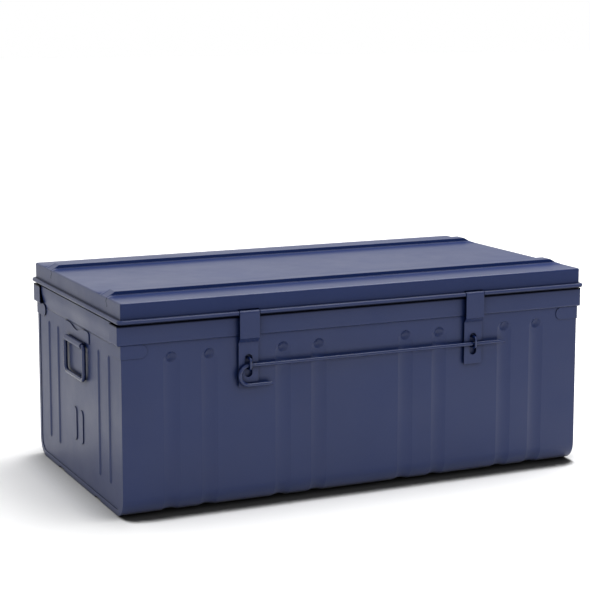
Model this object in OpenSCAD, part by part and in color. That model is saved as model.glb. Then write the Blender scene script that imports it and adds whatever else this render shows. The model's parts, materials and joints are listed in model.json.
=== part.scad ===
// Steel storage trunk with a hinged lid, two hasps, a locking rod and a drop handle on each end.
// Millimetres. X runs along the trunk, Y from front to back, Z up from the floor.

/* [Body] */
// Length of the body over its end flanges
body_l = 785; // [640:5:900]
// Depth of the body, front to back
body_w = 423; // [360:1:480]
// Height of the walls, up to the rim inside the lid
wall_h = 322; // [280:1:380]
// Thickness of the pressed sheet
sheet_t = 1; // [0.8:0.1:1.4]
// Outer radius of the long bends between the bottom and the front and back
bend_r = 30; // [24:1:36]
// Width of the flange that laps each end panel
flange_w = 9; // [6:1:14]

/* [Grooves in the front and back] */
// Width of a groove
groove_w = 26; // [20:1:30]
// Depth of a groove
groove_d = 2.5; // [2:0.1:3.5]
// Width of the round dimple at a groove's top end
dimple_w = 19; // [14:1:22]
// Depth of a dimple
dimple_d = 4.5; // [3.5:0.1:5]
// Distance from the rim down to the grooves' round top ends
groove_drop = 76; // [72:1:120]
// Distance from the middle to the inner pair of grooves
pair_in_x = 105; // [90:1:115]
// Distance from the middle to the outer pair of grooves
pair_out_x = 285; // [270:1:295]
// Distance between the two grooves of a pair
groove_pitch = 60; // [50:1:66]
// Length that a groove runs on under the bottom, past the bend
groove_foot = 28; // [15:1:45]

/* [Ribs in the bottom] */
// Distance from the middle to each rib along the bottom
rib_y = 93; // [60:1:110]
// Width of a rib
rib_w = 30; // [20:1:40]
// Height that a rib is pressed up
rib_h = 3; // [2:0.5:4]

/* [End panels] */
// Distance from the middle to the inner bead of an end
bead_in_y = 103; // [85:1:115]
// Distance from the middle to the outer bead of an end
bead_out_y = 152; // [140:1:165]
// Width of a bead
bead_w = 11; // [8:1:14]
// Height of a bead
bead_h = 2; // [1.5:0.1:3.5]
// Height of a bead's lower end
bead_z0 = 40; // [35:1:80]
// Distance from the rim down to a bead's upper end
bead_drop = 86; // [82:1:120]
// Height of the middle of the two plain raised pads
pad_z = 95; // [85:1:110]
// Height of a pad
pad_h = 54; // [40:1:60]
// Width of a pad
pad_w = 17; // [12:1:20]
// Distance from the middle to each pad
pad_y = 16; // [12:1:24]
// Distance that a pad stands out
pad_out = 1.4; // [1.2:0.1:2]

/* [Collar] */
// Distance from the rim down to the collar's lower edge
collar_drop = 62; // [60:1:64]
// Height of the collar
collar_h = 29.5; // [27:0.5:30.5]
// Distance that the collar stands out at the ends
collar_end_out = 7.5; // [6:0.5:8]
// Distance that the bands between the wrapped corners stand out
band_out = 4.5; // [3:0.5:5]
// Length that the front and back collar wrap round the ends
wrap_l = 36; // [25:1:50]
// Radius of the collar's bends
collar_r = 3; // [2:0.5:4]
// Height over which the end bands swell out from the end panel
band_swell = 28; // [16:1:28]
// Distance that the end bands reach below the collar
band_foot = 6; // [4:1:8]

/* [Corner gussets] */
// Length of a gusset's leg on the front or back
gusset_front_l = 40; // [30:1:45]
// Length of a gusset's leg on the end
gusset_end_l = 45; // [35:1:50]
// Height of a gusset
gusset_h = 20; // [16:1:24]

/* [Lid] */
// Gap between the lid's inner face and the body at the ends
lid_gap_end = 0.5; // [0.4:0.1:2]
// Gap between the lid's inner face and the body's front and back
lid_gap_side = 3.5; // [3:0.1:5]
// Gap between the rim and the lid that rests on it
seat_gap = 0.3; // [0.2:0.1:0.6]
// Depth of the lid from its top face to the middle of its edge wire
lid_depth = 27.8; // [26:0.1:30]
// Outer radius of the lid's corners and top edges
lid_r = 2.5; // [2:0.1:3]
// Diameter of the wire in the lid's edge
wire_d = 5; // [4:0.5:6]
// Distance from the middle to each ridge along the lid
ridge_y = 140; // [120:1:160]
// Width of a ridge at its foot
ridge_w = 27; // [20:1:34]
// Height of a ridge
ridge_h = 7; // [5:0.5:9]
// Width of the low flare on each side of a ridge
flare_w = 16; // [8:1:20]
// Height of the flare where it meets the ridge
flare_h = 2; // [1:0.5:2.5]
// Length of the slope at each end of a ridge
ridge_slope = 12; // [8:1:20]

/* [Hasps and hinges] */
// Distance from the middle to each hasp
hasp_x = 194; // [185:1:205]
// Width of a hasp
hasp_w = 32; // [28:1:40]
// Thickness of the hasps and hinge straps
strap_t = 1.5; // [1.2:0.1:1.8]
// Distance from the rim down to a hasp's lower end
hasp_drop = 139; // [134:1:144]
// Distance that a hasp steps in under the collar
hasp_step = 6; // [4:0.5:6.5]
// Width of a hasp's slot
slot_w = 12; // [9:0.5:13]
// Distance from the middle of the staples down to a slot's lower end
slot_drop = 21; // [17:0.5:23]
// Distance from the middle of the staples up to a slot's upper end
slot_rise = 14; // [12:0.5:16]
// Distance from the middle to each hinge
hinge_x = 194; // [185:1:205]
// Width of a hinge strap
hinge_w = 40; // [34:1:44]
// Distance from the rim down to a hinge strap's lower end
hinge_drop = 117; // [107:1:130]
// Radius of a rivet's shank
rivet_r = 1.8; // [1.5:0.1:1.8]

/* [Staples and locking rod] */
// Diameter of a staple's wire
staple_d = 4; // [3.5:0.1:4.5]
// Distance from the rim down to the middle of the staples
staple_drop = 103.5; // [102:0.5:106]
// Outer height of a staple
staple_h = 20; // [19:0.5:22]
// Width of the plate behind a staple
backing_w = 24; // [18:1:30]
// Diameter of the locking rod
rod_d = 6; // [5:0.1:6.5]
// Radius of the hook at the rod's left end
hook_r = 15; // [14:0.5:17]
// Length of the hook's straight return
hook_leg = 37; // [25:1:45]
// Length of rod past the right staple
rod_tail = 56; // [30:1:70]

/* [Handles] */
// Distance from the rim down to the handles' pivots
pivot_drop = 93; // [90:1:97]
// Diameter of a bail's wire
bail_d = 6.5; // [5.5:0.5:7]
// Width of a bail, from middle to middle of its legs
bail_w = 94; // [94:1:108]
// Bend radius of a bail at its pivot
bail_top_bend = 6.5; // [5:0.5:6.5]
// Bend radius of a bail at its grip
bail_low_bend = 11; // [8:1:16]
// Drop from the pivot to the middle of the grip
bail_drop = 54; // [45:1:60]
// Length of the rolled sleeve that holds a bail
sleeve_l = 80; // [70:1:81]
// Thickness of a handle plate
plate_t = 1.5; // [1.2:0.1:2]
// Width of a handle plate
plate_w = 124; // [112:1:140]
// Height of a handle plate above the pivot at its saddle
plate_saddle = 18; // [14:1:19]
// Further height of a handle plate's two humps
plate_hump = 6.5; // [3:0.5:7]

/* [Hidden] */
$fn = 48;

navy = "#2f3a66";
// Running clearance between a wire and what is rolled round it
run_c = 0.05;
// Clearance where a shank or a leg goes through sheet
hole_c = 0.1;
// Gap between sheets that are only laid edge to edge
lay_c = 0.2;
// Gap between the rod, the hasps and the staples
slide_c = 0.35;
// Reach of a cut past the face that it opens
over = 10;
// Height below the rim at which the end flanges stop, clear of the lid's round edge
rim_relief = 3;

// Heights that follow the rim
groove_top = wall_h - groove_drop;
bead_z1 = wall_h - bead_drop;
collar_z0 = wall_h - collar_drop;
hasp_z0 = wall_h - hasp_drop;
staple_z = wall_h - staple_drop;
slot_z0 = staple_z - slot_drop;
hinge_z0 = wall_h - hinge_drop;
pivot_z = wall_h - pivot_drop;

// The body's faces
front_y = body_w / 2;
end_x = body_l / 2;
panel_x = end_x - sheet_t;
// The circle whose arc is a groove of this width and depth, and how far its middle is off the face
groove_cr = (groove_w * groove_w / 4 + groove_d * groove_d) / (2 * groove_d);
dimple_cr = (dimple_w * dimple_w / 4 + dimple_d * dimple_d) / (2 * dimple_d);
groove_off = groove_cr - groove_d;
groove_xs = [for (s = [-1, 1], p = [pair_in_x, pair_out_x], h = [-0.5, 0.5]) s * p + h * groove_pitch];
bead_cr = (bead_w * bead_w / 4 + bead_h * bead_h) / (2 * bead_h);
bead_off = bead_cr - bead_h;

// The lid's inner faces, its edge wire and the roll round it
lid_in_x = end_x + lid_gap_end;
lid_in_y = front_y + lid_gap_side;
lid_top = wall_h + seat_gap + sheet_t;
wire_r = wire_d / 2;
roll_r = wire_r + run_c + sheet_t;
wire_x = lid_in_x + roll_r;
wire_y = lid_in_y + roll_r;
wire_z = lid_top - lid_depth;
wire_bend = lid_r - sheet_t + roll_r;
knuckle_r = wire_r + run_c + strap_t;

// The collar's outer faces: a hinge strap lies flat on the back one
collar_y = wire_y - knuckle_r;
collar_x = panel_x + collar_end_out;
collar_z1 = collar_z0 + collar_h;

// The hasp's two levels, the rod in front of it and the staple round the rod
hasp_front = wire_y + knuckle_r;
hasp_low = hasp_front - hasp_step;
rod_r = rod_d / 2;
rod_y = hasp_low + slide_c + rod_r;
leg_z = staple_h / 2 - staple_d / 2;
rod_z = staple_z - leg_z + staple_d / 2 + slide_c + rod_r;
staple_y = rod_y + rod_r + slide_c + staple_d / 2;
slot_z1 = staple_z + slot_rise;

// The handle's pivot
bail_r = bail_d / 2;
sleeve_in = bail_r + hole_c;
sleeve_out = sleeve_in + plate_t;
pivot_x = panel_x + plate_t + sleeve_in + hole_c;

// Round wire of radius r bent square in the XY plane through these points, each corner with its own bend
module bent_wire(pts, bends, r, closed = false) {
    n = len(pts);
    function at(i) = pts[(i + n) % n];
    function trim(i) = closed || (i > 0 && i < n - 1) ? bends[i % n] : 0;
    for (i = [0 : closed ? n - 1 : n - 2]) {
        d = (at(i + 1) - at(i)) / norm(at(i + 1) - at(i));
        h = norm(at(i + 1) - at(i)) - trim(i) - trim((i + 1) % n);
        translate(at(i) + d * trim(i)) rotate([0, 90, atan2(d.y, d.x)]) cylinder(h = h, r = r);
    }
    for (i = [0 : n - 1]) if (trim(i) > 0) {
        d = (at(i) - at(i - 1)) / norm(at(i) - at(i - 1));
        side = sign(cross(d, at(i + 1) - at(i)));
        translate(at(i) - d * bends[i] + side * bends[i] * [-d.y, d.x])
            rotate(atan2(d.y, d.x) - (side > 0 ? 90 : 0))
            rotate_extrude(angle = 90) translate([bends[i], 0]) circle(r);
    }
}

// Lays a shape drawn in XY, with its thickness in Z, into the YZ plane with its thickness along X
module into_yz() {
    rotate([90, 0, 90]) children();
}

// Lays a shape drawn in XY into the XZ plane, with its thickness towards the front
module into_xz() {
    rotate([90, 0, 0]) children();
}

module mirror_if(yes, axis) {
    if (yes) mirror(axis) children();
    else children();
}

// Rectangle with round corners, in the middle
module round_rect(l, w, r) {
    square([l - 2 * r, w], center = true);
    square([l, w - 2 * r], center = true);
    for (x = [-1, 1], y = [-1, 1]) translate([x * (l / 2 - r), y * (w / 2 - r)]) circle(r);
}

// Upright strip with half-round ends
module obround(w, h) {
    square([w, h - w], center = true);
    for (s = [-1, 1]) translate([0, s * (h - w) / 2]) circle(w / 2);
}

// Cross-section of the body, drawn in from its outer face
module u_profile(inset, top) {
    r = bend_r - inset;
    half = front_y - inset;
    translate([-half, bend_r]) square([2 * half, top - bend_r]);
    translate([-half + r, inset]) square([2 * (half - r), r + 1]);
    for (s = [-1, 1]) translate([s * (half - r), bend_r]) circle(r);
}

module u_prism(inset, length, top) {
    into_yz() translate([0, 0, -length / 2]) linear_extrude(length) u_profile(inset, top);
}

// Round-bottomed channel down the front, round the bend and on under the bottom, grown by g
module groove_cut(g) {
    r = groove_cr + g;
    mid_y = front_y + groove_off;
    bend_y = front_y - bend_r;
    dimple_z = groove_top - dimple_w / 2;
    top_z = dimple_z - dimple_w / 4;
    foot_y = bend_y - groove_foot;
    translate([0, dimple_d - dimple_cr - front_y, dimple_z]) sphere(dimple_cr + g);
    translate([0, -mid_y, top_z]) sphere(r);
    translate([0, -mid_y, bend_r]) cylinder(h = top_z - bend_r, r = r);
    translate([0, -bend_y, bend_r]) rotate([0, 90, 0]) rotate([0, 0, -90])
        rotate_extrude(angle = 90) translate([bend_r + groove_off, 0]) circle(r);
    translate([0, -bend_y, -groove_off]) rotate([-90, 0, 0]) cylinder(h = bend_y - foot_y, r = r);
    translate([0, -foot_y, -groove_off]) sphere(r);
}

module grooves(g) {
    for (x = groove_xs, back = [false, true])
        mirror_if(back, [0, 1, 0]) translate([x, 0, 0]) groove_cut(g);
}

// Rib along the bottom, grown by g all round
module ribs(g) {
    low = rib_w / 2 + g / cos(45) + over;
    high = rib_w / 2 - rib_h + g * tan(22.5);
    for (s = [-1, 1]) into_yz() translate([s * rib_y, 0, -end_x - over]) linear_extrude(body_l + 2 * over)
        polygon([[-low, -over], [low, -over], [high, rib_h + g], [-high, rib_h + g]]);
}

module wrap_outer() {
    difference() {
        u_prism(0, body_l, wall_h);
        grooves(0);
        ribs(0);
    }
}

module wrap_inner() {
    difference() {
        u_prism(sheet_t, body_l - 2 * sheet_t, wall_h + over);
        grooves(sheet_t);
        ribs(sheet_t);
    }
}

// One sheet makes the front, the bottom and the back, with a flange folded over each end panel
module body_wrap() {
    color(navy) difference() {
        wrap_outer();
        wrap_inner();
        for (s = [-1, 1]) {
            translate([s * end_x, 0, 0]) u_prism(flange_w, 4 * sheet_t, wall_h + over);
            translate([s * (panel_x + over), 0, wall_h])
                cube([2 * over, 2 * body_w, 2 * rim_relief], center = true);
        }
        staple_holes();
        rivet_shanks(rivet_r + hole_c);
    }
}

// Flat end inside the flange, with two pairs of pressed beads and two plain pads
module end_panel() {
    bead_l = bead_z1 - bead_z0 - bead_w;
    module beads(r) {
        for (y = [-bead_out_y, -bead_in_y, bead_in_y, bead_out_y]) translate([bead_off - panel_x, y, 0]) {
            translate([0, 0, bead_z0 + bead_w / 2]) cylinder(h = bead_l, r = r);
            translate([0, 0, bead_z0 + bead_w / 2]) sphere(r);
            translate([0, 0, bead_z1 - bead_w / 2]) sphere(r);
        }
    }
    module pads(inset) {
        for (s = [-1, 1]) into_yz() translate([s * pad_y, pad_z, inset - panel_x - pad_out])
            linear_extrude(pad_out + sheet_t) obround(pad_w - 2 * inset, pad_h - 2 * inset);
    }
    difference() {
        union() {
            into_yz() translate([0, 0, -panel_x]) linear_extrude(sheet_t)
                u_profile(sheet_t + lay_c, wall_h);
            beads(bead_cr);
            pads(0);
        }
        ribs(sheet_t + lay_c);
        beads(bead_cr - sheet_t);
        pads(sheet_t);
        translate([sheet_t - panel_x, -front_y, 0]) cube([4 * bead_cr, body_w, wall_h]);
    }
}

module end_panel_left() {
    color(navy) end_panel();
}

module end_panel_right() {
    color(navy) mirror([1, 0, 0]) end_panel();
}

// Solid ring round the top of the body, drawn in from the collar's outer faces
module collar_block(inset) {
    hx = collar_x - inset;
    hy = collar_y - inset;
    z0 = collar_z0 + inset;
    h = collar_h - 2 * inset;
    r = collar_r - inset;
    module edge_profile(half) {
        translate([-half, z0 + r]) square([2 * half, h - r]);
        translate([-half + r, z0]) square([2 * (half - r), h]);
        for (s = [-1, 1]) translate([s * (half - r), z0 + r]) circle(r);
    }
    intersection() {
        translate([0, 0, z0]) linear_extrude(h) round_rect(2 * hx, 2 * hy, r);
        into_yz() translate([0, 0, -hx]) linear_extrude(2 * hx) edge_profile(hy);
        into_xz() translate([0, 0, -hy]) linear_extrude(2 * hy) edge_profile(hx);
    }
}

// Channel along the front, wrapped round both front corners
module collar_side() {
    difference() {
        collar_block(0);
        collar_block(sheet_t);
        translate([-end_x, -front_y, 0]) cube([body_l, body_w, wall_h]);
        translate([-collar_x - over, wrap_l - collar_y, 0])
            cube([2 * collar_x + 2 * over, 2 * collar_y, wall_h]);
    }
}

module collar_front() {
    color(navy) collar_side();
}

module collar_back() {
    color(navy) difference() {
        mirror([0, 1, 0]) collar_side();
        rivet_shanks(rivet_r + hole_c);
    }
}

// Channel across an end between the wrapped corners, which swells out softly from its foot
module collar_band() {
    half = collar_y - wrap_l - lay_c;
    top = collar_h + band_foot;
    swell = [for (t = [0 : 0.125 : 1]) [band_out * (1 - cos(180 * t)) / 2, band_swell * t]];
    module section(inset) {
        polygon(concat([for (p = swell) [p.x - inset, p.y]],
                       [[band_out - inset, top - inset], [-inset, top - inset]]));
    }
    difference() {
        translate([-panel_x, half, collar_z0 - band_foot]) rotate([90, 0, 0]) linear_extrude(2 * half)
            mirror([1, 0]) difference() {
                section(0);
                section(sheet_t);
            }
        // The foot stops at the gussets' round ends
        for (s = [-1, 1]) translate([-panel_x, s * (front_y - gusset_end_l - lay_c + over), collar_z0 - over])
            cube([4 * over, 2 * over, 2 * (over + lay_c)], center = true);
    }
}

module collar_band_left() {
    color(navy) collar_band();
}

module collar_band_right() {
    color(navy) mirror([1, 0, 0]) collar_band();
}

// Corner plate under the collar, with a round end on each leg
module corner_gusset() {
    z0 = collar_z0 - gusset_h;
    r = gusset_h / 2;
    module leg(length) {
        translate([0, z0]) square([length - r, gusset_h]);
        translate([length - r, z0 + r]) circle(r);
    }
    translate([-end_x - sheet_t, -front_y, 0]) into_xz() linear_extrude(sheet_t)
        leg(gusset_front_l + sheet_t);
    translate([-end_x - sheet_t, -front_y - sheet_t, 0]) into_yz() linear_extrude(sheet_t)
        leg(gusset_end_l + sheet_t);
}

module corner_gusset_front_left() {
    color(navy) corner_gusset();
}

module corner_gusset_front_right() {
    color(navy) mirror([1, 0, 0]) corner_gusset();
}

module corner_gusset_back_left() {
    color(navy) mirror([0, 1, 0]) corner_gusset();
}

module corner_gusset_back_right() {
    color(navy) mirror([1, 0, 0]) mirror([0, 1, 0]) corner_gusset();
}

// Plate with a waved top edge, whose foot is rolled into a sleeve for the bail
module handle_plate() {
    half = plate_w / 2;
    corner = 7;
    hump_y = 38;
    crest = plate_saddle + plate_hump;
    wing_z = sleeve_out + 1.5;
    slit_w = 0.5;
    sleeve_root = 0.8;
    function top_at(y) = crest - plate_hump * (1 + cos(180 * min(abs(y) / hump_y, 1))) / 2;
    corner_arc = [for (a = [0 : 15 : 90]) [half, crest] + corner * [cos(a) - 1, sin(a) - 1]];
    wave = [for (y = [hump_y : -4 : 4]) [y, top_at(y)]];
    right = concat([[half, wing_z]], corner_arc, wave);
    left = [for (i = [len(right) - 1 : -1 : 0]) [-right[i].x, right[i].y]];
    into_yz() translate([0, pivot_z, -panel_x - plate_t]) linear_extrude(plate_t) {
        polygon(concat(right, [[0, top_at(0)]], left));
        translate([-sleeve_l / 2, -sleeve_root]) square([sleeve_l, plate_saddle - 1 + sleeve_root]);
    }
    translate([-pivot_x, 0, pivot_z]) rotate([90, 0, 0]) difference() {
        cylinder(h = sleeve_l, r = sleeve_out, center = true);
        cylinder(h = sleeve_l + over, r = sleeve_in, center = true);
        // The rolled sheet's edge stops short of the plate
        translate([sleeve_in - 1.5 * slit_w, plate_t, -sleeve_l]) cube([slit_w, sleeve_in, 2 * sleeve_l]);
    }
}

module handle_plate_left() {
    color(navy) handle_plate();
}

module handle_plate_right() {
    color(navy) mirror([1, 0, 0]) handle_plate();
}

// Closed wire bail, hanging from the sleeve
module handle_bail() {
    half = bail_w / 2;
    translate([-pivot_x, 0, pivot_z]) into_yz()
        bent_wire([[-half, 0], [-half, -bail_drop], [half, -bail_drop], [half, 0]],
                  [bail_top_bend, bail_low_bend, bail_low_bend, bail_top_bend], bail_r, true);
}

module handle_bail_left() {
    color(navy) handle_bail();
}

module handle_bail_right() {
    color(navy) mirror([1, 0, 0]) handle_bail();
}

// Places of the staples' legs in the front, as holes of one radius
module staple_holes() {
    for (x = [-hasp_x, hasp_x], z = [-leg_z, leg_z]) translate([x, -front_y + over, staple_z + z])
        rotate([90, 0, 0]) cylinder(h = 2 * over, r = staple_d / 2 + hole_c);
}

// Wire loop through the front, clinched over a plate inside
module staple() {
    bend = 4;
    head_t = 1.2;
    inside = front_y - sheet_t - plate_t;
    translate([-hasp_x, 0, staple_z]) {
        into_yz() bent_wire(
            [[-inside, leg_z], [-staple_y, leg_z], [-staple_y, -leg_z], [-inside, -leg_z]],
            [bend, bend, bend, bend], staple_d / 2);
        for (s = [-1, 1]) translate([0, -inside, s * leg_z]) rotate([-90, 0, 0])
            cylinder(h = head_t, r = staple_d * 0.85);
    }
}

module staple_left() {
    color(navy) staple();
}

module staple_right() {
    color(navy) mirror([1, 0, 0]) staple();
}

module staple_backing() {
    difference() {
        translate([-hasp_x, sheet_t - front_y + plate_t, staple_z]) into_xz() linear_extrude(plate_t)
            round_rect(backing_w, staple_h + backing_w * 2 / 3, backing_w / 8);
        staple_holes();
    }
}

module staple_backing_left() {
    color(navy) staple_backing();
}

module staple_backing_right() {
    color(navy) mirror([1, 0, 0]) staple_backing();
}

// Turns about the wire at which the rolled sheet of hasps and hinges ends
hasp_slit = 45;
hinge_slit = 135;

// Knuckle of this width round the edge wire, slit where the rolled sheet ends
module knuckle(width, slit_turn) {
    rotate([0, 90, 0]) difference() {
        cylinder(h = width, r = knuckle_r, center = true);
        cylinder(h = width + over, r = wire_r + run_c, center = true);
        rotate(slit_turn) translate([0, -strap_t / 4, -width]) cube([2 * knuckle_r, strap_t / 2, 2 * width]);
    }
}

// Side view of a strap that leaves its knuckle downwards and steps in once: y is the strap's outer face
module strap_section(outer, step, step_z, z0) {
    ramp = 7;
    half = strap_t / 2;
    polygon([
        [outer, wire_z], [outer, step_z + ramp + half], [outer + step, step_z + half], [outer + step, z0],
        [outer + step + strap_t, z0], [outer + step + strap_t, step_z - half],
        [outer + strap_t, step_z + ramp - half], [outer + strap_t, wire_z]
    ]);
}

// Strap on the lid's front edge, with a slot that drops over the staple
module hasp() {
    height = wire_z - hasp_z0;
    step_z = collar_z0 - 10;
    translate([-hasp_x, 0, 0]) {
        translate([0, -wire_y, wire_z]) knuckle(hasp_w, hasp_slit);
        intersection() {
            into_yz() translate([0, 0, -hasp_w / 2]) linear_extrude(hasp_w)
                strap_section(-hasp_front, hasp_step, step_z, hasp_z0);
            translate([0, over - wire_y + knuckle_r, 0]) into_xz() linear_extrude(4 * over) difference() {
                union() {
                    translate([0, hasp_z0 + height / 2]) round_rect(hasp_w, height, 2);
                    translate([-hasp_w / 2, wire_z - height / 2]) square([hasp_w, height / 2]);
                }
                translate([0, (slot_z0 + slot_z1) / 2]) obround(slot_w, slot_z1 - slot_z0);
            }
        }
    }
}

module hasp_left() {
    color(navy) hasp();
}

module hasp_right() {
    color(navy) mirror([1, 0, 0]) hasp();
}

// Rivet places on the left hinge, from the middle of the strap
rivet_dx = hinge_w / 4;
rivet_zs = [collar_z0 + collar_h * 0.55, hinge_z0 + hinge_w * 0.35, collar_z0 - hinge_w * 0.55];

// Rivets through the two hinge straps, as shanks of one radius
module rivet_shanks(r) {
    for (x = [-hinge_x, hinge_x], dx = [-rivet_dx, rivet_dx], z = rivet_zs)
        translate([x + dx, front_y - over, z]) rotate([-90, 0, 0]) cylinder(h = 2 * over, r = r);
}

// Strap on the collar and the back, rolled round the lid's rear edge wire
module hinge_strap() {
    height = wire_z - hinge_z0;
    step = collar_y - front_y;
    step_z = collar_z0 - 9;
    translate([-hinge_x, wire_y, wire_z]) knuckle(hinge_w, hinge_slit);
    difference() {
        mirror([0, 1, 0]) intersection() {
            translate([-hinge_x, 0, 0]) into_yz() translate([0, 0, -hinge_w / 2]) linear_extrude(hinge_w)
                strap_section(-collar_y - strap_t, step, step_z, hinge_z0);
            translate([-hinge_x, over - front_y, 0]) into_xz() linear_extrude(4 * over) {
                translate([0, hinge_z0 + height / 2]) round_rect(hinge_w, height, 6);
                translate([-hinge_w / 2, wire_z - height / 2]) square([hinge_w, height / 2]);
            }
        }
        rivet_shanks(rivet_r + hole_c);
    }
}

module hinge_strap_left() {
    color(navy) hinge_strap();
}

module hinge_strap_right() {
    color(navy) mirror([1, 0, 0]) hinge_strap();
}

// Round-headed rivets, closed inside the back sheet
module hinge_rivets() {
    head_r = rivet_r * 2;
    head_h = rivet_r * 0.8;
    dome_r = (head_r * head_r + head_h * head_h) / (2 * head_h);
    module rivet(seat) {
        inner = front_y - sheet_t;
        rotate([-90, 0, 0]) {
            translate([0, 0, inner]) cylinder(h = seat - inner, r = rivet_r);
            translate([0, 0, inner - head_h / 2]) cylinder(h = head_h / 2, r = head_r * 0.8);
            intersection() {
                translate([0, 0, seat + head_h - dome_r]) sphere(dome_r);
                translate([0, 0, seat]) cylinder(h = head_h * 2, r = head_r);
            }
        }
    }
    color(navy) for (x = [-hinge_x, hinge_x], dx = [-rivet_dx, rivet_dx], z = rivet_zs)
        translate([x + dx, 0, z]) rivet(z > collar_z0 ? collar_y + strap_t : front_y + strap_t);
}

// The lid's edge wire, or the space or roll round it, as one closed loop
module edge_loop(r) {
    translate([0, 0, wire_z]) bent_wire(
        [[-wire_x, -wire_y], [wire_x, -wire_y], [wire_x, wire_y], [-wire_x, wire_y]],
        [wire_bend, wire_bend, wire_bend, wire_bend], r, true);
}

module lid_edge_wire() {
    color(navy) edge_loop(wire_r);
}

// Pan with round corners and top edges, drawn in from the lid's outer faces, down to its edge wire
module pan(inset) {
    r = lid_r - inset;
    l = 2 * (lid_in_x + sheet_t - inset);
    w = 2 * (lid_in_y + sheet_t - inset);
    top = lid_top - inset;
    flat_z = top - r;
    translate([0, 0, wire_z]) linear_extrude(flat_z - wire_z) round_rect(l, w, r);
    translate([0, 0, wire_z]) linear_extrude(top - wire_z) square([l - 2 * r, w - 2 * r], center = true);
    for (s = [-1, 1]) {
        translate([0, s * (w / 2 - r), flat_z]) rotate([0, 90, 0])
            cylinder(h = l - 2 * r, r = r, center = true);
        translate([s * (l / 2 - r), 0, flat_z]) rotate([90, 0, 0])
            cylinder(h = w - 2 * r, r = r, center = true);
        for (t = [-1, 1]) translate([s * (l / 2 - r), t * (w / 2 - r), flat_z]) sphere(r);
    }
}

// Ridge along the lid with sloped ends and a low flare on each side, drawn in all round
module ridges(inset) {
    half_l = lid_in_x + sheet_t - lid_r - inset;
    z0 = lid_top - sheet_t;
    h = ridge_h + sheet_t - inset;
    foot = ridge_w / 2 - inset;
    reach = foot + flare_w;
    crest = foot - (ridge_h - flare_h) * 0.35;
    bend = flare_h + sheet_t - inset;
    slope = ridge_slope * (h - sheet_t + inset) / ridge_h;
    for (s = [-1, 1]) translate([0, s * ridge_y, z0]) intersection() {
        into_yz() translate([0, 0, -half_l]) linear_extrude(2 * half_l)
            polygon([[-reach, 0], [reach, 0], [reach, sheet_t - inset], [foot, bend], [crest, h],
                     [-crest, h], [-foot, bend], [-reach, sheet_t - inset]]);
        into_xz() translate([0, 0, -reach]) linear_extrude(2 * reach)
            polygon([[-half_l, 0], [half_l, 0], [half_l, sheet_t - inset], [half_l - slope, h],
                     [slope - half_l, h], [-half_l, sheet_t - inset]]);
    }
}

// Gap in the lid's rolled edge that lets a knuckle reach the wire
module edge_notch(x, width, back) {
    gap = 1;
    reach = roll_r + over;
    mirror_if(back, [0, 1, 0]) translate([x - width / 2 - gap, -wire_y - reach, wire_z - reach])
        cube([width + 2 * gap, reach + knuckle_r + gap, reach + knuckle_r + 1.4 * gap]);
}

module lid_shell() {
    color(navy) difference() {
        union() {
            pan(0);
            ridges(0);
            edge_loop(roll_r);
        }
        pan(sheet_t);
        ridges(sheet_t);
        edge_loop(wire_r + run_c);
        for (s = [-1, 1]) {
            edge_notch(s * hasp_x, hasp_w, false);
            edge_notch(s * hinge_x, hinge_w, true);
        }
        // Below the wire, the lid is open inside its rolled edge
        translate([0, 0, wire_z - over]) linear_extrude(over + lid_r)
            round_rect(2 * lid_in_x, 2 * lid_in_y, lid_r - sheet_t);
    }
}

// Round rod through both staples, hooked at its left end
module locking_rod() {
    x0 = -hasp_x - slide_c;
    color(navy) translate([0, -rod_y, rod_z]) into_xz() bent_wire(
        [[hasp_x + rod_tail, 0], [x0 - hook_r, 0], [x0 - hook_r, -2 * hook_r], [x0 + hook_leg, -2 * hook_r]],
        [0, hook_r, hook_r, 0], rod_r);
}

body_wrap();
end_panel_left();
end_panel_right();
collar_front();
collar_back();
collar_band_left();
collar_band_right();
corner_gusset_front_left();
corner_gusset_front_right();
corner_gusset_back_left();
corner_gusset_back_right();
handle_plate_left();
handle_plate_right();
handle_bail_left();
handle_bail_right();
staple_left();
staple_right();
staple_backing_left();
staple_backing_right();
hinge_strap_left();
hinge_strap_right();
hinge_rivets();
lid_shell();
lid_edge_wire();
hasp_left();
hasp_right();
locking_rod();
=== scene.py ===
import json
import math

import bpy
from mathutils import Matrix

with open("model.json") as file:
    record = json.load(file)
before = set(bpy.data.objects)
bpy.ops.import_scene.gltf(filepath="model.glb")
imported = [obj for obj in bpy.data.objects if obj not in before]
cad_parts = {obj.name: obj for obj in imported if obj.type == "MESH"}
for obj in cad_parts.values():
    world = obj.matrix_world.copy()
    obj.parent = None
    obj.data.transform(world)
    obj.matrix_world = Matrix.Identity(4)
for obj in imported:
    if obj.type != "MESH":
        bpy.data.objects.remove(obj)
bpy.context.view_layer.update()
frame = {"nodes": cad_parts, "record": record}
scene = bpy.context.scene
scene.view_settings.view_transform = "Standard"

# Camera: fitted to the photograph's edges, 590 pixels on a 36 mm sensor
IMAGE = 590
SENSOR = 36.0
FOCAL_PX = 1679.0
SHIFT_PX = -50.0
PITCH = 8.16
YAW = 24.862
CAMERA_PLACE = (-1.164045, -2.474553, 0.749112)
CAMERA_REACH = 60.0

camera_data = bpy.data.cameras.new("camera")
camera_data.sensor_width = SENSOR
camera_data.lens = FOCAL_PX / IMAGE * SENSOR
camera_data.shift_y = SHIFT_PX / IMAGE
camera_data.clip_end = CAMERA_REACH
camera = bpy.data.objects.new("camera", camera_data)
camera.location = CAMERA_PLACE
camera.rotation_euler = (math.radians(90 - PITCH), 0.0, math.radians(-YAW))
scene.collection.objects.link(camera)
scene.camera = camera


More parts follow.
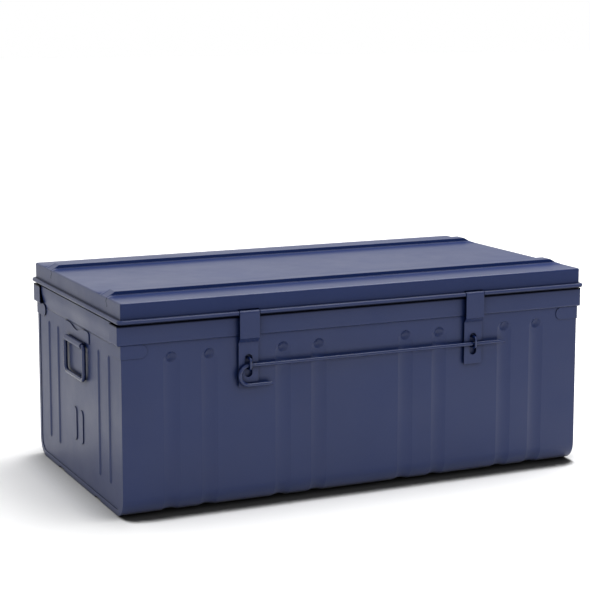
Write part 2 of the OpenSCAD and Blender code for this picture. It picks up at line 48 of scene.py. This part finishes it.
class Nodes:
    """A material's or world's node tree, with short calls to add and join nodes."""

    def __init__(self, owner):
        owner.use_nodes = True
        self.tree = owner.node_tree
        self.tree.nodes.clear()

    def add(self, kind, inputs=None, **settings):
        node = self.tree.nodes.new(kind)
        for name, value in settings.items():
            setattr(node, name, value)
        for name, value in (inputs or {}).items():
            socket = node.inputs[name]
            if isinstance(value, bpy.types.NodeSocket):
                self.tree.links.new(value, socket)
            else:
                socket.default_value = value
        return node

    def math(self, operation, *values):
        return self.add("ShaderNodeMath", dict(enumerate(values)), operation=operation).outputs[0]

    def product(self, first, *others):
        for other in others:
            first = self.math("MULTIPLY", first, other)
        return first

    def spread(self, value, start, end, low, high):
        """low up to start, high past end, and a straight change between them."""
        return self.add("ShaderNodeMapRange", {0: value, 1: start, 2: end, 3: low, 4: high}).outputs[0]

    def either(self, switch, off, on):
        """off where the switch is 0, on where it is 1."""
        return self.spread(switch, 0.0, 1.0, off, on)

    def coordinates(self, kind):
        return self.add("ShaderNodeTexCoord").outputs[kind]

    def split(self, vector):
        return self.add("ShaderNodeSeparateXYZ", {0: vector}).outputs

    def ray(self, kind):
        return self.add("ShaderNodeLightPath").outputs[kind]

    def openness(self, reach, samples):
        """1 where nothing stands within reach, lower beside and under other surfaces."""
        return self.add("ShaderNodeAmbientOcclusion", {"Distance": reach}, samples=samples).outputs["AO"]


# World: white where it is seen, a plain soft level on the object, and dimmer reflections of the studio's
# front and right. The pairs are places along the direction's Y and X.
FILL = 0.62
FRONT_GLOSS = 0.45
BACK_GLOSS = 0.95
FRONT_TO_BACK = (-0.9, -0.1)
RIGHT_GLOSS = 0.55
MIDDLE_TO_RIGHT = (0.30, 0.62)

world = bpy.data.worlds.new("studio")
scene.world = world
w = Nodes(world)
sideways, backwards, _ = w.split(w.coordinates("Generated"))
mirrored = w.product(
    w.spread(backwards, *FRONT_TO_BACK, FRONT_GLOSS, BACK_GLOSS),
    w.spread(sideways, *MIDDLE_TO_RIGHT, 1.0, RIGHT_GLOSS))
level = w.either(w.ray("Is Glossy Ray"), FILL, mirrored)
level = w.either(w.math("MAXIMUM", w.ray("Is Camera Ray"), w.ray("Is Transmission Ray")), level, 1.0)
background = w.add("ShaderNodeBackground", {0: (1.0, 1.0, 1.0, 1.0), 1: level})
w.add("ShaderNodeOutputWorld", {0: background.outputs[0]})

# Lamps: name, place, the point that it faces, width and height, and watts
LAMPS = (
    ("overhead", (0.9, 0.5, 2.6), (0.0, 0.0, 0.2), (2.0, 2.0), 62.0),
    ("front_fill", (-1.5, -3.5, 2.2), (0.0, 0.0, 0.2), (2.0, 1.2), 9.0),
    ("front_strip", (1.1, -1.1, 2.4), (0.0, -0.2, 0.2), (2.2, 0.5), 15.0),
)
for name, place, target, size, power in LAMPS:
    data = bpy.data.lights.new(name, "AREA")
    data.shape = "RECTANGLE"
    data.size, data.size_y = size
    data.energy = power
    lamp = bpy.data.objects.new(name, data)
    lamp.location = place
    aim = [t - p for t, p in zip(target, place)]
    reach = math.hypot(aim[0], aim[1])
    lamp.rotation_euler = (math.atan2(reach, -aim[2]), 0.0, math.atan2(aim[1], aim[0]) - math.pi / 2)
    scene.collection.objects.link(lamp)

# Floor: pale and white to the eye, with the trunk's shadow on it, partly cast by the lamps and partly painted.
# A lift of its own light grows with the distance from the trunk and sinks near it as painted shade; the floor
# is dimmer in reflections, most of all behind the trunk.
FLOOR_SIDE = 40.0
FLOOR_DROP = 0.0004
FLOOR_ROUGHNESS = 0.85
FLOOR_SEEN = 0.97
FLOOR_BOUNCE = 0.45
FLOOR_LIFT = (0.22, 0.50)
LIFT_REACH = (0.7, 3.0)
FLOOR_MIRRORED = 0.4
FLOOR_BEHIND = 0.80
BEHIND_REACH = (0.3, 1.0)
SHADE_REACH = 0.25
SHADE_SAMPLES = 8
# The painted shadow on the floor, a nearly black line in front of the trunk: how near, how closed in, how
# dark, and between which Y and X
PAINTED_SHADOW_REACH = 0.06
PAINTED_SHADOW_SAMPLES = 16
PAINTED_SHADOW_DARK = (0.68, 0.80)
PAINTED_SHADOW_BLACK = 0.015
PAINTED_SHADOW_FRONT = (-0.19, -0.17)
PAINTED_SHADOW_ENDS = (0.388, 0.396)

bpy.ops.mesh.primitive_plane_add(size=FLOOR_SIDE, location=(0.0, 0.0, -FLOOR_DROP))
floor = bpy.context.object
floor.name = "studio_floor"
floor_paint = bpy.data.materials.new("floor_white")
m = Nodes(floor_paint)
where = m.coordinates("Object")
along, depth, _ = m.split(where)
glossy = m.ray("Is Glossy Ray")
seen = m.math("MAXIMUM", m.math("MAXIMUM", m.ray("Is Camera Ray"), glossy), m.ray("Is Transmission Ray"))

# Painted shadow, only where the camera sees the floor: its colour and light darken where the trunk closes it
# in, and go nearly black in front of the trunk
painted_contact_shadow = m.openness(PAINTED_SHADOW_REACH, PAINTED_SHADOW_SAMPLES)
black = m.spread(painted_contact_shadow, *PAINTED_SHADOW_DARK, PAINTED_SHADOW_BLACK, 1.0)
zone = m.spread(depth, *PAINTED_SHADOW_FRONT, 1.0, 0.0)
zone = m.spread(m.math("ABSOLUTE", along), *PAINTED_SHADOW_ENDS, zone, 0.0)
painted_contact_shadow = m.either(m.ray("Is Camera Ray"), 1.0, m.either(zone, painted_contact_shadow, black))

away = m.add("ShaderNodeVectorMath", {0: where}, operation="LENGTH").outputs["Value"]
# The lift sinks where the trunk closes the floor in: painted shade
lift = m.product(
    m.spread(away, *LIFT_REACH, *FLOOR_LIFT), m.either(glossy, 1.0, FLOOR_MIRRORED),
    m.openness(SHADE_REACH, SHADE_SAMPLES), painted_contact_shadow, seen)
behind = m.spread(depth, *BEHIND_REACH, 1.0, FLOOR_BEHIND)
pale = m.product(m.either(seen, FLOOR_BOUNCE, FLOOR_SEEN), painted_contact_shadow, m.either(glossy, 1.0, behind))
white = m.add("ShaderNodeCombineColor", {0: pale, 1: pale, 2: pale}).outputs[0]
shader = m.add("ShaderNodeBsdfPrincipled", {
    "Base Color": white, "Roughness": FLOOR_ROUGHNESS,
    "Emission Color": (1.0, 1.0, 1.0, 1.0), "Emission Strength": lift})
m.add("ShaderNodeOutputMaterial", {0: shader.outputs[0]})
floor.data.materials.append(floor_paint)

# Satin navy paint: small differences of shade and gloss, orange peel, slight waves of the pressed sheet, and
# painted shade in seams and recesses.
# Each noise has a scale, a detail and a roughness; lengths are in metres.
NAVY = (0.0070, 0.0205, 0.099, 1.0)
NAVY_PALE = (0.0092, 0.0243, 0.111, 1.0)
SHADES_AT = (0.45, 0.80)
CLOUD = (5.0, 4.0, 0.5)
GRAIN = (420.0, 2.0, 0.5)
GRAIN_SHARE = 0.25
GLOSS_PATCHES = (11.0, 5.0, 0.6)
GLOSS_AT = (0.3, 0.7)
GLOSSIER, DULLER = -0.04, 0.05
PEEL = (260.0, 3.0, 0.5)
PEEL_STRENGTH = 0.25
WAVES = (6.5, 1.5, 0.5)
PAINT_IOR = 1.5
SHINE = 0.5
# Painted shade in seams and recesses: colour and reflection darken within these reaches of other surfaces
PAINTED_SEAM_SHADE_REACH = 0.010
WIDE_PAINTED_SEAM_SHADE_REACH = 0.020
PAINTED_SEAM_SHADE_SAMPLES = 6
EDGE_ROUND = 0.0008
LID_EDGE_ROUND = 0.0018
EDGE_SAMPLES = 6
# The lid's painted shade: less reflection on the ridges' walls and the slopes beside them, measured from a
# ridge's middle line, and on its front and back skirts, and a darker colour under its roll
LID_TOP = 0.3225
RIDGE_Y = 0.140
WALL_START = (0.0090, 0.0110)
WALL_END = (0.0132, 0.0142)
SLOPE_START = (0.0185, 0.0205)
SLOPE_END = (0.0260, 0.0540)
SLOPE_PAINTED_SHADE = 0.16
SKIRT_Y = 0.2145
SKIRT_FOOT = 0.2995
SKIRT_PAINTED_SHADE = 0.62
ROLL_UNDER = (0.2926, 0.2946)
ROLL_PAINTED_SHADE = 0.15
# Painted shade of the short bent creases on the lid's ends, below the corners of the ridges: dark wavy lines
LID_END = 0.3925
RIDGE_FOOT = 0.0135
CREASE_END = 0.309
CREASE_WIDTH = 0.0021
CREASE_BENDS = 500.0
CREASE_PAINTED_SHADE = 0.95
# The collar's top edge, in the shadow of the lid's roll
RIM_EDGE = (0.2868, 0.2886)
RIM_DARK = 0.12


def lid_painted_shade(n, where):
    """Two painted-shade factors for the lid's paint: one darkens colour and reflection in the creases and
    under the roll, one weakens the reflection on the ridges' walls, the slopes and the skirts.
    """
    along, across, up = n.split(where)
    along = n.math("ABSOLUTE", along)
    below = n.math("SUBTRACT", 1.0, n.math("GREATER_THAN", up, LID_TOP))
    aside = n.math("ABSOLUTE", n.math("SUBTRACT", n.math("ABSOLUTE", across), RIDGE_Y))

    def painted_shine_strip(start, end):
        """Painted shade on the reflection: 1 outside the strip, the slope factor inside, with a soft change
        over each pair of distances.
        """
        return n.math(
            "MAXIMUM", n.spread(aside, *start, 1.0, SLOPE_PAINTED_SHADE), n.spread(aside, *end, SLOPE_PAINTED_SHADE, 1.0))

    # The ridges' walls and the slopes beside them reflect less: painted shade
    slope = n.math("MINIMUM", painted_shine_strip(WALL_START, WALL_END), painted_shine_strip(SLOPE_START, SLOPE_END))
    slope = n.math("MAXIMUM", slope, below)
    # The front and back skirts reflect less: painted shade
    skirt = n.product(
        n.math("GREATER_THAN", n.math("ABSOLUTE", across), SKIRT_Y),
        n.math("GREATER_THAN", up, SKIRT_FOOT), below)
    skirt = n.either(skirt, 1.0, SKIRT_PAINTED_SHADE)

    # Painted shade: a dark wavy line for each crease
    bent = n.product(n.math("SINE", n.product(up, CREASE_BENDS)), CREASE_WIDTH)
    foot = n.math("ABSOLUTE", n.math("ADD", across, RIDGE_FOOT))
    off = n.math("ABSOLUTE", n.math("ADD", n.math("SUBTRACT", foot, RIDGE_Y), bent))
    painted_crease_shade = n.product(
        n.math("LESS_THAN", off, CREASE_WIDTH / 2), n.math("GREATER_THAN", up, CREASE_END),
        n.math("GREATER_THAN", along, LID_END), below)
    # Colour and reflection darken in the creases and under the roll: painted shade
    painted_colour_shade = n.product(n.either(painted_crease_shade, 1.0, 1.0 - CREASE_PAINTED_SHADE), n.spread(up, *ROLL_UNDER, ROLL_PAINTED_SHADE, 1.0))
    return painted_colour_shade, n.product(slope, skirt)


def rim_painted_shade(n, where):
    """The same two factors for the collars: painted shadow on the top edge, and no weaker reflection anywhere.
    """
    return n.spread(n.split(where)[2], *RIM_EDGE, 1.0, RIM_DARK), 1.0


def navy_paint(name, roughness, peel, wave, edge_round=EDGE_ROUND, painted_shade_reach=PAINTED_SEAM_SHADE_REACH, painted_shade_factors=None):
    """A paint; peel and wave are its bumps' heights, edge_round the reach of soft edges; the last two set its
    painted shade.
    """
    paint = bpy.data.materials.new(name)
    n = Nodes(paint)
    where = n.coordinates("Object")

    def noise(scale, detail, rough):
        return n.add("ShaderNodeTexNoise", {
            "Vector": where, "Scale": scale, "Detail": detail, "Roughness": rough}).outputs[0]

    mixed = n.math("MULTIPLY_ADD", noise(*GRAIN), GRAIN_SHARE, noise(*CLOUD))
    shades = n.add("ShaderNodeValToRGB", {0: mixed})
    for element, shade, place in zip(shades.color_ramp.elements, (NAVY, NAVY_PALE), SHADES_AT):
        element.color = shade
        element.position = place
    # Painted shade: colour and reflection darken near other surfaces, in seams and recesses
    painted_seam_shade = n.add("ShaderNodeAmbientOcclusion", {
        "Color": shades.outputs[0], "Distance": painted_shade_reach}, samples=PAINTED_SEAM_SHADE_SAMPLES)
    colour = painted_seam_shade.outputs["Color"]
    shine = n.product(painted_seam_shade.outputs["AO"], SHINE)
    # More painted shade from the lid's or collars' own factors, on colour and on reflection
    if painted_shade_factors:
        painted_colour_shade, painted_shine_shade = painted_shade_factors(n, where)
        colour = n.add("ShaderNodeVectorMath", {0: colour, 1: painted_colour_shade}, operation="MULTIPLY").outputs[0]
        shine = n.product(shine, painted_colour_shade, painted_shine_shade)

    gloss = n.spread(noise(*GLOSS_PATCHES), *GLOSS_AT, roughness + GLOSSIER, roughness + DULLER)
    normal = n.add("ShaderNodeBevel", {"Radius": edge_round}, samples=EDGE_SAMPLES).outputs[0]
    for strength, height, pattern in ((PEEL_STRENGTH, peel, PEEL), (1.0, wave, WAVES)):
        normal = n.add("ShaderNodeBump", {
            "Strength": strength, "Distance": height, "Height": noise(*pattern), "Normal": normal}).outputs[0]
    shader = n.add("ShaderNodeBsdfPrincipled", {
        "Base Color": colour, "Roughness": gloss, "IOR": PAINT_IOR,
        "Specular IOR Level": shine, "Normal": normal})
    n.add("ShaderNodeOutputMaterial", {0: shader.outputs[0]})
    return paint


slot_paints = {
    "painted_sheet": navy_paint("navy_sheet", roughness=0.40, peel=0.0003, wave=0.0016),
    "painted_wire": navy_paint("navy_wire", roughness=0.20, peel=0.0002, wave=0.0),
    "painted_rivets": navy_paint("navy_rivets", roughness=0.34, peel=0.0002, wave=0.0),
}
rim_paint = navy_paint(
    "navy_rim", roughness=0.40, peel=0.0003, wave=0.0016, painted_shade_reach=WIDE_PAINTED_SEAM_SHADE_REACH, painted_shade_factors=rim_painted_shade)
lid_paint = navy_paint(
    "navy_lid", roughness=0.38, peel=0.0003, wave=0.0012,
    edge_round=LID_EDGE_ROUND, painted_shade_reach=WIDE_PAINTED_SEAM_SHADE_REACH, painted_shade_factors=lid_painted_shade)
own_paints = {"lid_shell": lid_paint, "collar_front": rim_paint, "collar_back": rim_paint}
for part in frame["record"]["subparts"]:
    node = frame["nodes"][part["node"]]
    paint = own_paints.get(part["node"], slot_paints[part["material_slot"]])
    if not node.data.materials:
        node.data.materials.append(paint)
    for holder in node.material_slots:
        holder.material = paint
